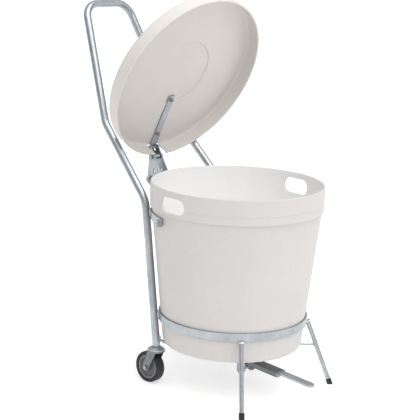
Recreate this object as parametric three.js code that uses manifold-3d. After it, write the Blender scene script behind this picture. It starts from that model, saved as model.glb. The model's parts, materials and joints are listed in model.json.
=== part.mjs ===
// Lidded tub on a pedal trolley: a plastic tub standing in a tubular steel cradle on two castors
// and two feet, with a lid that a pedal opens through a push rod.
// Millimetres, +Z up, ground at Z = 0, the pedal towards -Y and the push handle towards +Y.
// The model is posed with its lid open. X = 0 is the cradle's plane of symmetry.
import * as THREE from 'three';
import { mergeVertices } from 'three/addons/utils/BufferGeometryUtils.js';
import Module from 'manifold-3d';

const wasm = await Module();
wasm.setup();

// ---------------------------------------------------------------- clearances
const touch = 0.3; // between faces that bear on each other
const slide = 0.3; // radial, round pins and shanks

// ---------------------------------------------------------------- castors
const wheelRadius = 50;
const wheelWidth = 32;
const tyreDepth = 12;
const castorTrail = 25;
const forkGap = 2.5; // each side of the wheel
const forkThickness = 3;
const forkCrownGap = 6; // above the wheel
const forkCrownZ = 2 * wheelRadius + forkCrownGap;
const stemHeight = 20; // from the fork's crown to the foot of the upright
const headRadius = 27;
const axleRadius = 4;

// ---------------------------------------------------------------- tub
const tubRadius = 270.5; // outside of the collar
const tubBaseRadius = 220;
const uprightFootZ = forkCrownZ + stemHeight;
const tubLift = 10.5; // its base above the feet of the uprights
const tubBaseZ = uprightFootZ + tubLift;
const tubHeight = 516;
const tubWall = 3.5;
const tubFloor = 5;
const tubCorner = 14;
const collarHeight = 78;
const collarStep = 6;
const rimRound = 2.5;
const tubTopZ = tubBaseZ + tubHeight;
const collarZ = tubTopZ - collarHeight;
const gripHoleLength = 103;
const gripHoleHeight = 48;
const gripHoleDrop = 43.5; // centre below the rim

const tubTurn = -6; // degrees, how the tub happens to stand in its cradle

// ---------------------------------------------------------------- cradle
const tubeRadius = 12.5;
const tubeWall = 1.6;
const tubeSides = 14;
const tubeBoreFlat = (tubeRadius - tubeWall) * Math.cos(Math.PI / tubeSides); // to the middle of a side
const uprightX = 184.5;
const footGap = 7.83; // between an upright's foot and the tub's base
const uprightFootY = Math.sqrt((tubBaseRadius + footGap + tubeRadius) ** 2 - uprightX ** 2);
const kneeGap = 1.83; // between the collar and the knee, where the upright leans back
const kneeRise = 8;
const kneeY = Math.sqrt((tubRadius + kneeGap + tubeRadius) ** 2 - uprightX ** 2);
const kneeZ = collarZ + kneeRise;
const kneeRadius = 80;
const elbow = { x: 159, y: kneeY + 210, z: kneeZ + 212.5, radius: 90 };
const gripCorner = { x: 94, y: kneeY + 381, z: kneeZ + 575.5, radius: 58 };
const barHeight = 25; // hoop and strap are the same flat bar
const barThickness = 4;
const bandClearance = 0.8; // between the tub and the bars round it
const hoopRise = 75.5; // above the tub's base
const hoopZ = tubBaseZ + hoopRise;
const strapDrop = 40; // below the collar
const strapZ = collarZ - strapDrop;
const strapEndAngle = 17; // degrees behind the tub's side
const strapTabLength = 16;
const legRadius = 7;
const legAngle = 43; // degrees from the front
const legReach = 101.3; // at the ground, beyond the tub's base
const legFootRadius = tubBaseRadius + legReach;
const legEndZ = 5;
const tipRadius = 8.8;
const tipHeight = 18;
const crossRodRadius = 4;
const crossRodRise = 13.5; // above the tub's base, where a rod meets its upright
const crossRodEndZ = tubBaseZ + crossRodRise;

// ---------------------------------------------------------------- lid and its hinge
// Hinge, lid and push rod are drawn in the plane X = 0, then turned together round the tub's axis.
const unitTurn = -2.5; // degrees from the cradle's plane of symmetry
const lidOpenAngle = 64; // degrees
const hingeReach = 105; // behind the collar
const hingeDrop = 52.5; // below the rim
const hingeY = tubRadius + hingeReach;
const hingeZ = tubTopZ - hingeDrop;
const lidOverlap = 40; // how far the closed skirt covers the collar
const lidPlay = 10.5; // between the skirt and the collar
const lidInnerRadius = tubRadius + lidPlay;
const lidWall = 3;
const lidLip = 2; // bead round the open edge
const lidCorner = 14;
const lidRingRadius = 114;
const lidNotchWidth = 50;
const armClearance = 3; // between the tub's rim and the closed arm
const armThickness = 5;
const armWidth = 25;
const armFrontY = 88;
const armRearY = lidInnerRadius + 20.5;
const armBoltYs = [armFrontY + 14, armFrontY + 146];
const swingPlateX = 14; // inside face
const swingPlateThickness = 4;
const armPinY = armRearY + 3.3; // closed
const armPinZ = tubTopZ - 24;
const stopPinY = armPinY - 20.8;
const bracketPlateX = 20;
const bracketPlateThickness = 3;
const driveRadius = 48; // push-rod pin from the hinge, at each end of its travel
const slotTravel = 7.6;
const slotPlay = 2; // the pin wanders across the slot while the lid swings

// ---------------------------------------------------------------- pedal and push rod
// The pedal is drawn level and then pressed down by pedalPressed, the angle it has with the lid open.
const pedalPressed = 4.5; // degrees
const pedalPivotY = -64;
const pedalPivotZ = tubBaseZ - 72.5;
const pedalTopZ = tubBaseZ - 38.5;
const pedalReach = 109; // in front of the tub's base
const pedalTipY = -tubBaseRadius - pedalReach;
const treadWidth = 27;
const treadDepth = 7;
const channelWidth = 41;
const channelWall = 3;
const channelDepth = 15;
const channelFrontY = 17 - tubBaseRadius;
const channelRearY = 36;
const leverWidth = 24;
const leverThickness = 6;
const leverElbowY = tubBaseRadius - 8;
const rearPinY = tubRadius + 35.3; // drawn level
const rearPinZ = tubBaseZ - 34;
const earX = 23.5; // inside face of the bracket's ears
const earThickness = 4;
const earRadius = 16;
const rodRadius = 4;
const rodEyeRadius = 9;
const rodEyeWidth = 8;
const pinRadius = 4;
const forkPlay = 2; // each side of the rod's eye in the lever's fork

// ---------------------------------------------------------------- solids
const degrees = Math.PI / 180;
const xAxis = new THREE.Vector3(1, 0, 0);
const yAxis = new THREE.Vector3(0, 1, 0);
const zAxis = new THREE.Vector3(0, 0, 1);
const far = 2000; // larger than the whole object
const bendSteps = 4;

function vector(x, y, z) {
  return new THREE.Vector3(x, y, z);
}

function toSolid(geometry) {
  const bare = geometry.clone();
  bare.deleteAttribute('normal');
  bare.deleteAttribute('uv');
  const merged = mergeVertices(bare);
  const vertProperties = new Float32Array(merged.attributes.position.array);
  const triVerts = new Uint32Array(merged.index.array);
  return new wasm.Manifold(new wasm.Mesh({ numProp: 3, vertProperties, triVerts }));
}

function toGeometry(solid) {
  const result = solid.getMesh();
  const geometry = new THREE.BufferGeometry();
  geometry.setAttribute('position', new THREE.BufferAttribute(new Float32Array(result.vertProperties), 3));
  geometry.setIndex(new THREE.BufferAttribute(new Uint32Array(result.triVerts), 1));
  geometry.computeVertexNormals();
  return geometry;
}

function join(...geometries) {
  return toGeometry(geometries.map(toSolid).reduce((whole, piece) => whole.add(piece)));
}

function cut(geometry, ...tools) {
  return toGeometry(tools.map(toSolid).reduce((whole, tool) => whole.subtract(tool), toSolid(geometry)));
}

function box(x0, x1, y0, y1, z0, z1) {
  const geometry = new THREE.BoxGeometry(x1 - x0, y1 - y0, z1 - z0);
  return geometry.translate((x0 + x1) / 2, (y0 + y1) / 2, (z0 + z1) / 2);
}

// A cylinder between two points, or a prism when it has few sides.
function rod(from, to, radius, sides = 16) {
  const span = to.clone().sub(from);
  const geometry = new THREE.CylinderGeometry(radius, radius, span.length(), sides);
  const turn = new THREE.Quaternion().setFromUnitVectors(yAxis, span.clone().normalize());
  return geometry.applyQuaternion(turn).translate(...from.clone().add(to).multiplyScalar(0.5));
}

// The same along X, which is how every pin and bolt of the mechanism lies.
function crossPin(x0, x1, y, z, radius, sides = 16) {
  return rod(vector(x0, y, z), vector(x1, y, z), radius, sides);
}

function lathe(points, segments) {
  const profile = points.map(([radius, height]) => new THREE.Vector2(radius, height));
  return new THREE.LatheGeometry(profile, segments).rotateX(Math.PI / 2);
}

// Points of a rounded corner in a lathe profile, from one angle to another in degrees.
function roundCorner(radius, height, round, startAngle, endAngle, steps) {
  return Array.from({ length: steps + 1 }, (_, step) => {
    const angle = (startAngle + (endAngle - startAngle) * (step / steps)) * degrees;
    return [radius + round * Math.cos(angle), height + round * Math.sin(angle)];
  });
}

// A plate standing in the YZ plane, from a shape whose x is Y and whose y is Z.
function sidePlate(shape, x0, thickness) {
  const settings = { depth: thickness, bevelEnabled: false, curveSegments: 5 };
  const geometry = new THREE.ExtrudeGeometry(shape, settings);
  return geometry.applyMatrix4(new THREE.Matrix4().makeBasis(yAxis, zAxis, xAxis)).translate(x0, 0, 0);
}

// The outline of a strap that ends round at two circles.
function strapOutline(startY, startZ, startRadius, endY, endZ, endRadius) {
  const heading = Math.atan2(endZ - startZ, endY - startY);
  const lean = Math.acos((startRadius - endRadius) / Math.hypot(endY - startY, endZ - startZ));
  const shape = new THREE.Shape();
  shape.absarc(startY, startZ, startRadius, heading + lean, heading - lean + 2 * Math.PI, false);
  shape.absarc(endY, endZ, endRadius, heading - lean, heading + lean, false);
  return shape;
}

// A line with rounded corners whose stations lie only at its ends and round its bends.
class BentLine extends THREE.Curve {
  constructor(corners, stepsPerBend) {
    super();
    const points = corners.map(({ x, y, z }) => vector(x, y, z));
    const headings = points.slice(1).map((point, index) => point.clone().sub(points[index]).normalize());
    this.stations = [{ point: points[0], heading: headings[0] }];
    for (let index = 1; index < points.length - 1; index += 1) {
      this.addBend(points[index], headings[index - 1], headings[index], corners[index].radius, stepsPerBend);
    }
    this.stations.push({ point: points.at(-1), heading: headings.at(-1) });
  }

  addBend(corner, into, out, radius, steps) {
    const turn = into.angleTo(out);
    const inward = out.clone().addScaledVector(into, -Math.cos(turn)).normalize();
    const start = corner.clone().addScaledVector(into, -radius * Math.tan(turn / 2));
    for (let step = 0; step <= steps; step += 1) {
      const angle = (turn * step) / steps;
      const point = start.clone().addScaledVector(inward, radius * (1 - Math.cos(angle)));
      point.addScaledVector(into, radius * Math.sin(angle));
      const heading = into.clone().multiplyScalar(Math.cos(angle)).addScaledVector(inward, Math.sin(angle));
      this.stations.push({ point, heading });
    }
  }

  sample(key, t, target) {
    const place = t * (this.stations.length - 1);
    const index = Math.min(Math.floor(place), this.stations.length - 2);
    return target.lerpVectors(this.stations[index][key], this.stations[index + 1][key], place - index);
  }

  getPoint(t, target = new THREE.Vector3()) {
    return this.sample('point', t, target);
  }

  getTangent(t, target = new THREE.Vector3()) {
    return this.sample('heading', t, target).normalize();
  }

  getPointAt(u, target) {
    return this.getPoint(u, target);
  }

  getTangentAt(u, target) {
    return this.getTangent(u, target);
  }
}

function bentTube(corners, outerRadius, innerRadius, sides, stepsPerBend) {
  const path = new BentLine(corners, stepsPerBend);
  const ring = (radius) => new THREE.Path(
    Array.from({ length: sides }, (_, side) => {
      const angle = (2 * Math.PI * side) / sides;
      return new THREE.Vector2(radius * Math.cos(angle), radius * Math.sin(angle));
    }),
  );
  const section = new THREE.Shape(ring(outerRadius).getPoints());
  if (innerRadius > 0) section.holes.push(ring(innerRadius));
  const steps = path.stations.length - 1;
  return new THREE.ExtrudeGeometry(section, { steps, bevelEnabled: false, extrudePath: path });
}

// A hexagon bolt: its head sits on one side of `seat`, its shank runs `length` the other way.
function hexBolt(seat, direction, shankRadius, length) {
  const at = (distance) => seat.clone().addScaledVector(direction, distance);
  const head = rod(at(-shankRadius * 1.2), seat, shankRadius * 1.75, 6);
  return join(head, rod(at(-0.5), at(length), shankRadius, 12));
}

function hexNut(seat, direction, shankRadius) {
  const height = shankRadius * 1.5;
  const at = (distance) => seat.clone().addScaledVector(direction, distance);
  const bore = rod(at(-1), at(height + 1), shankRadius + slide, 12);
  return cut(rod(seat, at(height), shankRadius * 1.75, 6), bore);
}

// ---------------------------------------------------------------- materials
const finishes = {
  plastic: { color: 0xd8d4cf, roughness: 0.5, metalness: 0 },
  zinc: { color: 0xb4babf, roughness: 0.32, metalness: 0.9 },
  bolt: { color: 0x9ea4a8, roughness: 0.35, metalness: 0.9 },
  rubber: { color: 0x1d1e20, roughness: 0.7, metalness: 0 },
  core: { color: 0x6b6d6f, roughness: 0.55, metalness: 0 },
};

function piece(name, geometry, finish) {
  const mesh = new THREE.Mesh(geometry, new THREE.MeshStandardMaterial(finishes[finish]));
  mesh.name = name;
  return mesh;
}

// ---------------------------------------------------------------- tub
const wallSlope = (tubRadius - collarStep - tubBaseRadius) / (collarZ - tubBaseZ);

function tubOutside(z) {
  return tubBaseRadius + wallSlope * (z - tubBaseZ);
}

function tubGeometry() {
  const innerFloor = tubFloor + tubBaseZ;
  const body = lathe([
    [0, tubBaseZ + 2],
    [tubBaseRadius - 3 * tubCorner, tubBaseZ + 2],
    [tubBaseRadius - 3 * tubCorner + 2, tubBaseZ],
    ...roundCorner(tubBaseRadius - tubCorner, tubBaseZ + tubCorner, tubCorner, -90, 0, 4),
    [tubRadius - collarStep, collarZ],
    [tubRadius, collarZ + 1.5],
    ...roundCorner(tubRadius - rimRound, tubTopZ - rimRound, rimRound, 0, 90, 2),
    [tubRadius - tubWall - rimRound, tubTopZ],
    [tubRadius - tubWall - rimRound - 0.5, tubTopZ - rimRound],
    [tubRadius - collarStep - tubWall, collarZ],
    ...roundCorner(tubBaseRadius - tubCorner, tubBaseZ + tubCorner, tubCorner - tubWall, 0, -60, 2),
    [tubBaseRadius - tubCorner, innerFloor],
    [0, innerFloor],
  ], 64);
  const hole = new THREE.Shape();
  const reach = (gripHoleLength - gripHoleHeight) / 2;
  const holeZ = tubTopZ - gripHoleDrop;
  hole.absarc(reach, holeZ, gripHoleHeight / 2, -Math.PI / 2, Math.PI / 2, false);
  hole.absarc(-reach, holeZ, gripHoleHeight / 2, Math.PI / 2, 1.5 * Math.PI, false);
  return cut(body, sidePlate(hole, -tubRadius - 10, 2 * tubRadius + 20));
}

// ---------------------------------------------------------------- cradle
const uprightLean = (kneeY - uprightFootY) / (kneeZ - uprightFootZ);

function uprightY(z) {
  return uprightFootY + uprightLean * (z - uprightFootZ);
}

function handleCorners() {
  const below = uprightFootZ - 20;
  const side = [
    { x: -uprightX, y: uprightY(below), z: below },
    { x: -uprightX, y: kneeY, z: kneeZ, radius: kneeRadius },
    { ...elbow, x: -elbow.x },
    { ...gripCorner, x: -gripCorner.x },
  ];
  return [...side, ...side.map((corner) => ({ ...corner, x: -corner.x })).reverse()];
}

function handleGeometry() {
  const tube = bentTube(handleCorners(), tubeRadius, tubeRadius - tubeWall, tubeSides, bendSteps);
  return cut(tube, box(-far, far, -far, far, -far, uprightFootZ));
}

// The straight foot of an upright with its clearance, for coping what is welded to it.
function uprightCutter(side) {
  const low = vector(side * uprightX, uprightY(0), 0);
  const high = vector(side * uprightX, uprightY(kneeZ + 40), kneeZ + 40);
  return rod(low, high, tubeRadius + touch, 28);
}

// Pads that bring a bar round the tub out to both uprights.
function weldPads(barOutside, barZ) {
  const y = uprightY(barZ);
  return [-1, 1].map((side) => {
    const pad = box(barOutside - 2, Math.hypot(uprightX, y), -6, 6, barZ + 1, barZ + barHeight - 1);
    return pad.rotateZ(Math.atan2(y, side * uprightX));
  });
}

const hoopInside = tubOutside(hoopZ + barHeight) + bandClearance;
const hoopOutside = hoopInside + barThickness;
const strapInside = tubOutside(strapZ + barHeight) + bandClearance;
const strapOutside = strapInside + barThickness;

function hoopGeometry() {
  const top = hoopZ + barHeight;
  const ring = lathe([
    [hoopInside, hoopZ],
    [hoopOutside, hoopZ],
    [hoopOutside, top],
    [hoopInside, top],
    [hoopInside, hoopZ],
  ], 72);
  return cut(join(ring, ...weldPads(hoopOutside, hoopZ)), uprightCutter(1), uprightCutter(-1));
}

function strapTab(side) {
  const end = strapOutside + strapTabLength;
  const tab = box(strapInside + 1, end, 0, barThickness, strapZ, strapZ + barHeight);
  const middle = vector(strapOutside + strapTabLength / 2, 0, strapZ + barHeight / 2);
  const hole = rod(middle.clone().setY(-5), middle.clone().setY(barThickness + 5), 3 + slide, 12);
  const geometry = cut(tab, hole).rotateZ(strapEndAngle * degrees);
  return side > 0 ? geometry : mirrored(geometry);
}

// The mirror image in X = 0, with its faces turned to face out again.
function mirrored(geometry) {
  const flipped = geometry.index ? geometry.toNonIndexed() : geometry.clone();
  flipped.scale(-1, 1, 1);
  const position = flipped.attributes.position;
  for (let face = 0; face < position.count; face += 3) {
    const second = new THREE.Vector3().fromBufferAttribute(position, face + 1);
    const third = new THREE.Vector3().fromBufferAttribute(position, face + 2);
    position.setXYZ(face + 1, ...third);
    position.setXYZ(face + 2, ...second);
  }
  flipped.computeVertexNormals();
  return flipped;
}

function strapGeometry() {
  const start = strapEndAngle * degrees;
  const sector = new THREE.Shape();
  sector.absarc(0, 0, strapOutside, start, Math.PI - start, false);
  sector.absarc(0, 0, strapInside, Math.PI - start, start, true);
  const bar = new THREE.ExtrudeGeometry(sector, { depth: barHeight, bevelEnabled: false, curveSegments: 36 });
  const ends = [strapTab(1), strapTab(-1)];
  const whole = join(bar.translate(0, 0, strapZ), ...weldPads(strapOutside, strapZ), ...ends);
  return cut(whole, uprightCutter(1), uprightCutter(-1));
}

function strapScrew(side) {
  const radial = strapOutside + strapTabLength / 2;
  const seat = vector(radial, -touch, strapZ + barHeight / 2);
  const geometry = hexBolt(seat, yAxis, 3, barThickness + 8).rotateZ(strapEndAngle * degrees);
  return side > 0 ? geometry : mirrored(geometry);
}

// Legs splay outward from the hoop's lower edge.
const legTopRadius = hoopInside + legRadius;

function legPoint(side, z) {
  const radius = legFootRadius + (legTopRadius - legFootRadius) * (z / hoopZ);
  return vector(side * radius * Math.sin(legAngle * degrees), -radius * Math.cos(legAngle * degrees), z);
}

function legGeometry(side) {
  const bar = rod(legPoint(side, -20), legPoint(side, hoopZ + 20), legRadius, 14);
  return cut(bar, box(-far, far, -far, far, hoopZ - touch, far), box(-far, far, -far, far, -far, legEndZ));
}

function tipGeometry(side) {
  const sleeve = rod(legPoint(side, -20), legPoint(side, tipHeight), tipRadius, 18);
  const socket = cut(
    rod(legPoint(side, -20), legPoint(side, hoopZ), legRadius + slide, 14),
    box(-far, far, -far, far, -far, legEndZ - touch),
  );
  return cut(sleeve, box(-far, far, -far, far, -far, 0), socket);
}

// The tub stands on two rods that cross under it, each from one upright to the opposite leg.
const upperRodZ = tubBaseZ - touch - crossRodRadius;
const lowerRodZ = upperRodZ - 2 * crossRodRadius - touch;

function crossRodCorners(side, z) {
  const angle = Math.atan2(uprightY(crossRodEndZ), -side * uprightX);
  const drop = tubBaseRadius - 9 - 1.2 * (upperRodZ - z);
  return [
    { x: -side * uprightX, y: uprightY(crossRodEndZ), z: crossRodEndZ },
    { x: drop * Math.cos(angle), y: drop * Math.sin(angle), z, radius: 10 },
    legPoint(side, z),
  ];
}

function crossRodGeometry(side, z) {
  const leg = rod(legPoint(side, 0), legPoint(side, hoopZ), legRadius + touch, 28);
  return cut(bentTube(crossRodCorners(side, z), crossRodRadius, 0, 12, bendSteps), uprightCutter(-side), leg);
}

function crossRodX(side, z, y) {
  const [, start, end] = crossRodCorners(side, z);
  return start.x + ((end.x - start.x) * (y - start.y)) / (end.y - start.y);
}

// ---------------------------------------------------------------- pedal
function pedalBracketGeometry() {
  const top = lowerRodZ - crossRodRadius - touch;
  const halfPlate = 78;
  const saddleHeight = upperRodZ - crossRodRadius - touch;
  const saddleX = crossRodX(1, upperRodZ, pedalPivotY);
  const plate = box(-halfPlate, halfPlate, pedalPivotY - 18, pedalPivotY + 18, top - 4, top);
  const saddle = box(saddleX - 8, saddleX + 8, pedalPivotY - 10, pedalPivotY + 10, top - 1, saddleHeight);
  const outline = strapOutline(pedalPivotY, pedalPivotZ, earRadius, pedalPivotY, top - earRadius, earRadius);
  const hole = crossPin(-far, far, pedalPivotY, pedalPivotZ, 5 + slide);
  const squareTop = (x0) => box(x0, x0 + earThickness, pedalPivotY - 18, pedalPivotY + 18, top - 20, top - 1);
  const ears = [-earX - earThickness, earX].flatMap((x0) => [
    sidePlate(outline, x0, earThickness),
    squareTop(x0),
  ]);
  const trim = box(-far, far, -far, far, top, far);
  return cut(join(cut(join(plate, ...ears), trim), saddle), hole);
}

// A channel that is open below and behind, rounded in front when asked.
function channel(width, depth, wall, frontY, rearY, roundFront) {
  const half = width / 2;
  const outline = (inset, endY) => {
    const shape = new THREE.Shape();
    const radius = half - inset;
    shape.moveTo(-radius, endY);
    if (roundFront) {
      shape.lineTo(-radius, frontY + half);
      shape.absarc(0, frontY + half, radius, Math.PI, 2 * Math.PI, false);
    } else {
      shape.lineTo(-radius, frontY + inset);
      shape.lineTo(radius, frontY + inset);
    }
    shape.lineTo(radius, endY);
    return shape;
  };
  const settings = { depth, bevelEnabled: false, curveSegments: 6 };
  const outer = new THREE.ExtrudeGeometry(outline(0, rearY), settings).translate(0, 0, pedalTopZ - depth);
  const inner = new THREE.ExtrudeGeometry(outline(wall, rearY + 5), settings);
  return cut(outer, inner.translate(0, 0, pedalTopZ - depth - wall));
}

function pedalGeometry() {
  const half = channelWidth / 2;
  const wide = channel(channelWidth, channelDepth, channelWall, channelFrontY, channelRearY, false);
  const tread = channel(treadWidth, treadDepth, channelWall, pedalTipY, channelFrontY + 12, true);
  const cheek = strapOutline(pedalPivotY, pedalPivotZ, 13, pedalPivotY, pedalTopZ - 15, 14);
  const cheeks = [-half, half - channelWall].map((x0) => sidePlate(cheek, x0, channelWall));
  const hole = crossPin(-far, far, pedalPivotY, pedalPivotZ, 5 + slide);
  return cut(join(wide, tread, ...cheeks), hole, ...rivetHoles().map(skewed));
}

// Where the lever's rear pin stands once the pedal is pressed. Sideways it meets the turned push rod.
const pressedPin = vector(0, rearPinY - pedalPivotY, rearPinZ - pedalPivotZ)
  .applyAxisAngle(xAxis, pedalPressed * degrees)
  .add(vector(0, pedalPivotY, pedalPivotZ));
const rearPinX = -pressedPin.y * Math.tan(unitTurn * degrees);
const leverSkew = Math.atan2(rearPinX, rearPinY - pedalPivotY);
const leverPinY = pedalPivotY + Math.hypot(rearPinX, rearPinY - pedalPivotY);

// Turns what is drawn along Y into the lever's own direction, about the pedal's pivot.
function skewed(geometry) {
  return geometry.translate(0, -pedalPivotY, 0).rotateZ(-leverSkew).translate(0, pedalPivotY, 0);
}

// The lever is riveted under the channel, passes below the tub and cranks up behind it.
function leverGeometry() {
  const top = pedalTopZ - channelWall - touch;
  const bottom = top - leverThickness;
  const side = new THREE.Shape();
  side.moveTo(channelFrontY + 75, bottom);
  side.lineTo(leverElbowY, bottom);
  side.lineTo(leverPinY, rearPinZ - leverThickness / 2);
  side.lineTo(leverPinY, rearPinZ + leverThickness / 2);
  side.lineTo(leverElbowY, top);
  side.lineTo(channelFrontY + 75, top);
  const bar = sidePlate(side, -leverWidth / 2, leverWidth);
  const eye = crossPin(-leverWidth / 2, leverWidth / 2, leverPinY, rearPinZ, rodEyeRadius, 20);
  const forkX = rodEyeWidth / 2 + forkPlay;
  const fork = box(-forkX, forkX, leverPinY - 26, far, rearPinZ - 60, far);
  const pinHole = crossPin(-far, far, leverPinY, rearPinZ, pinRadius + slide);
  return skewed(cut(join(bar, eye), fork, pinHole, ...rivetHoles()));
}

const rivetYs = [channelFrontY + 95, channelRearY - 20];

function rivetHoles() {
  return rivetYs.map((y) => rod(vector(0, y, 0), vector(0, y, far), 3 + slide, 12));
}

function rivetGeometry(y) {
  const top = pedalTopZ + touch;
  const bottom = pedalTopZ - channelWall - touch - leverThickness - touch;
  const head = rod(vector(0, y, top), vector(0, y, top + 2), 6, 14);
  const shank = rod(vector(0, y, bottom - 1), vector(0, y, top + 1), 3, 12);
  const tail = rod(vector(0, y, bottom - 2), vector(0, y, bottom), 5, 14);
  return skewed(join(head, shank, tail));
}

// ---------------------------------------------------------------- push rod
// Its upper pin runs in the swing plates' slots, symmetrically above and below the hinge.
const driveAngle = (lidOpenAngle / 2) * degrees;
const driveY = hingeY - driveRadius * Math.cos(driveAngle);
const upperPin = vector(0, driveY, hingeZ + driveRadius * Math.sin(driveAngle));
const lowerPin = vector(0, pressedPin.y / Math.cos(unitTurn * degrees), pressedPin.z);

function pushRodGeometry() {
  const half = rodEyeWidth / 2;
  const eyes = [lowerPin, upperPin].map(({ y, z }) => crossPin(-half, half, y, z, rodEyeRadius, 20));
  const bores = [lowerPin, upperPin].map(({ y, z }) => crossPin(-far, far, y, z, pinRadius + slide));
  return cut(join(rod(lowerPin, upperPin, rodRadius, 14), ...eyes), ...bores);
}

function clevisPin(at, halfLength) {
  const pin = crossPin(-halfLength, halfLength, at.y, at.z, pinRadius, 14);
  const head = crossPin(-halfLength - 2.5, -halfLength + 0.5, at.y, at.z, pinRadius + 2.5, 14);
  const groove = cut(
    crossPin(halfLength - 3, halfLength - 1.6, at.y, at.z, pinRadius + 2, 14),
    crossPin(halfLength - 4, halfLength, at.y, at.z, pinRadius - 1, 14),
  );
  return cut(join(pin, head), groove);
}

function pinClip(at, halfLength) {
  const middle = halfLength - 2.3;
  const disc = crossPin(middle - 0.5, middle + 0.5, at.y, at.z, pinRadius + 3, 14);
  const bore = crossPin(middle - 2, middle + 2, at.y, at.z, pinRadius - 1 + slide, 14);
  const mouth = box(middle - 2, middle + 2, at.y - 1.6, at.y + 1.6, at.z, at.z + 20);
  return cut(disc, bore, mouth);
}

// ---------------------------------------------------------------- hinge
const hingeBoltRadius = 5;
const armPinRadius = 5;
const stopPinRadius = 3;
const lidRimZ = tubTopZ - lidOverlap;
const armBottom = tubTopZ + armClearance;
const stopPinZ = armBottom - touch - stopPinRadius;
const lidUnderside = armBottom + armThickness + touch;
const lidTop = lidUnderside + lidWall;

function hingeBracketGeometry() {
  const baseY = strapOutside + touch;
  const midZ = strapZ + barHeight / 2;
  const outline = strapOutline(baseY + 22, midZ + 4, 15, hingeY, hingeZ, 13);
  const plates = [-bracketPlateX - bracketPlateThickness, bracketPlateX].flatMap((x0) => [
    sidePlate(outline, x0, bracketPlateThickness),
    box(x0, x0 + bracketPlateThickness, baseY + 1, baseY + 30, strapZ, strapZ + barHeight),
  ]);
  const outer = bracketPlateX + bracketPlateThickness;
  const base = box(-outer, outer, baseY, baseY + 4, strapZ, strapZ + barHeight);
  const curve = rod(vector(0, 0, 0), vector(0, 0, far), strapOutside + touch, 144);
  const front = box(-outer, outer, baseY - 3, baseY + 1, strapZ, strapZ + barHeight);
  const hole = crossPin(-far, far, hingeY, hingeZ, hingeBoltRadius + slide);
  return cut(join(base, front, ...plates), hole, curve);
}

// The pair of plates that the lid's arm is bolted to and the push rod drives.
function swingPlateGeometry(x0) {
  const lobeZ = hingeZ - driveRadius * Math.sin(driveAngle);
  const parts = [
    strapOutline(hingeY, hingeZ, 14, armPinY, armPinZ, 12),
    strapOutline(hingeY, hingeZ, 14, driveY, lobeZ, 11),
    strapOutline(armPinY, armPinZ, 12, driveY, lobeZ, 11),
    strapOutline(armPinY, armPinZ, 12, stopPinY, stopPinZ, 8),
  ].map((outline) => sidePlate(outline, x0, swingPlateThickness));
  const inner = driveRadius - slotTravel;
  const slotY = hingeY - inner * Math.cos(driveAngle);
  const slotZ = hingeZ - inner * Math.sin(driveAngle);
  const slotRadius = pinRadius + slotPlay;
  const slotOutline = strapOutline(slotY, slotZ, slotRadius, driveY, lobeZ, slotRadius);
  const slot = sidePlate(slotOutline, x0 - 5, 20);
  const holes = [
    [hingeY, hingeZ, hingeBoltRadius],
    [armPinY, armPinZ, armPinRadius],
    [stopPinY, stopPinZ, stopPinRadius],
  ].map(([y, z, radius]) => crossPin(-far, far, y, z, radius + slide));
  return cut(join(...parts), slot, ...holes);
}

// ---------------------------------------------------------------- lid
function lidGeometry() {
  const outer = lidInnerRadius + lidWall;
  const innerCorner = lidCorner - lidWall;
  const body = lathe([
    [0, lidUnderside],
    [lidRingRadius - 4, lidUnderside],
    [lidRingRadius - 2, lidUnderside - 1.2],
    [lidRingRadius + 2, lidUnderside - 1.2],
    [lidRingRadius + 4, lidUnderside],
    ...roundCorner(lidInnerRadius - innerCorner, lidUnderside - innerCorner, innerCorner, 90, 0, 2),
    [lidInnerRadius, lidRimZ],
    [outer + lidLip, lidRimZ],
    [outer + lidLip, lidRimZ + 6],
    [outer, lidRimZ + 8],
    ...roundCorner(outer - lidCorner, lidTop - lidCorner, lidCorner, 0, 90, 3),
    [0, lidTop],
  ], 64);
  const half = lidNotchWidth / 2;
  const notch = box(-half, half, lidInnerRadius - 14, outer + 10, lidRimZ - 10, lidUnderside);
  const holes = armBoltYs.map((y) => rod(vector(0, y, 0), vector(0, y, far), 4 + slide, 12));
  const halfArm = armWidth / 2 + 1;
  const armRelief = box(-halfArm, halfArm, armFrontY - 2, lidInnerRadius, armBottom, lidUnderside);
  return cut(body, notch, armRelief, ...holes);
}

// A flat bar inside the lid that leaves through the notch and ends in a rolled eye.
function lidArmGeometry() {
  const top = armBottom + armThickness;
  const side = new THREE.Shape();
  side.moveTo(armFrontY, armBottom);
  side.lineTo(armRearY - 4, armBottom);
  side.lineTo(armPinY - 7.5, armPinZ + 3);
  side.lineTo(armPinY, armPinZ + 8);
  side.lineTo(armRearY, top);
  side.lineTo(armFrontY, top);
  const bar = sidePlate(side, -armWidth / 2, armWidth);
  const eye = crossPin(-armWidth / 2, armWidth / 2, armPinY, armPinZ, armPinRadius + 4, 20);
  const bore = crossPin(-far, far, armPinY, armPinZ, armPinRadius + slide);
  const boltHoles = armBoltYs.map((y) => rod(vector(0, y, 0), vector(0, y, far), 4 + slide, 12));
  const stopRelief = crossPin(-far, far, stopPinY, stopPinZ, stopPinRadius + slide);
  return cut(join(bar, eye), bore, stopRelief, ...boltHoles);
}

// A carriage bolt with a low domed head on top of the lid.
function lidBoltGeometry(y) {
  const seat = lidTop + touch;
  const bolt = lathe([
    [0, armBottom - 9],
    [4, armBottom - 9],
    [4, seat],
    [9, seat],
    [8, seat + 2],
    [4, seat + 3.5],
    [0, seat + 3.8],
  ], 16);
  return bolt.translate(0, y, 0);
}

// ---------------------------------------------------------------- castors
const stemTop = uprightFootZ + 34;
const flangeZ = uprightFootZ - touch;

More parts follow.
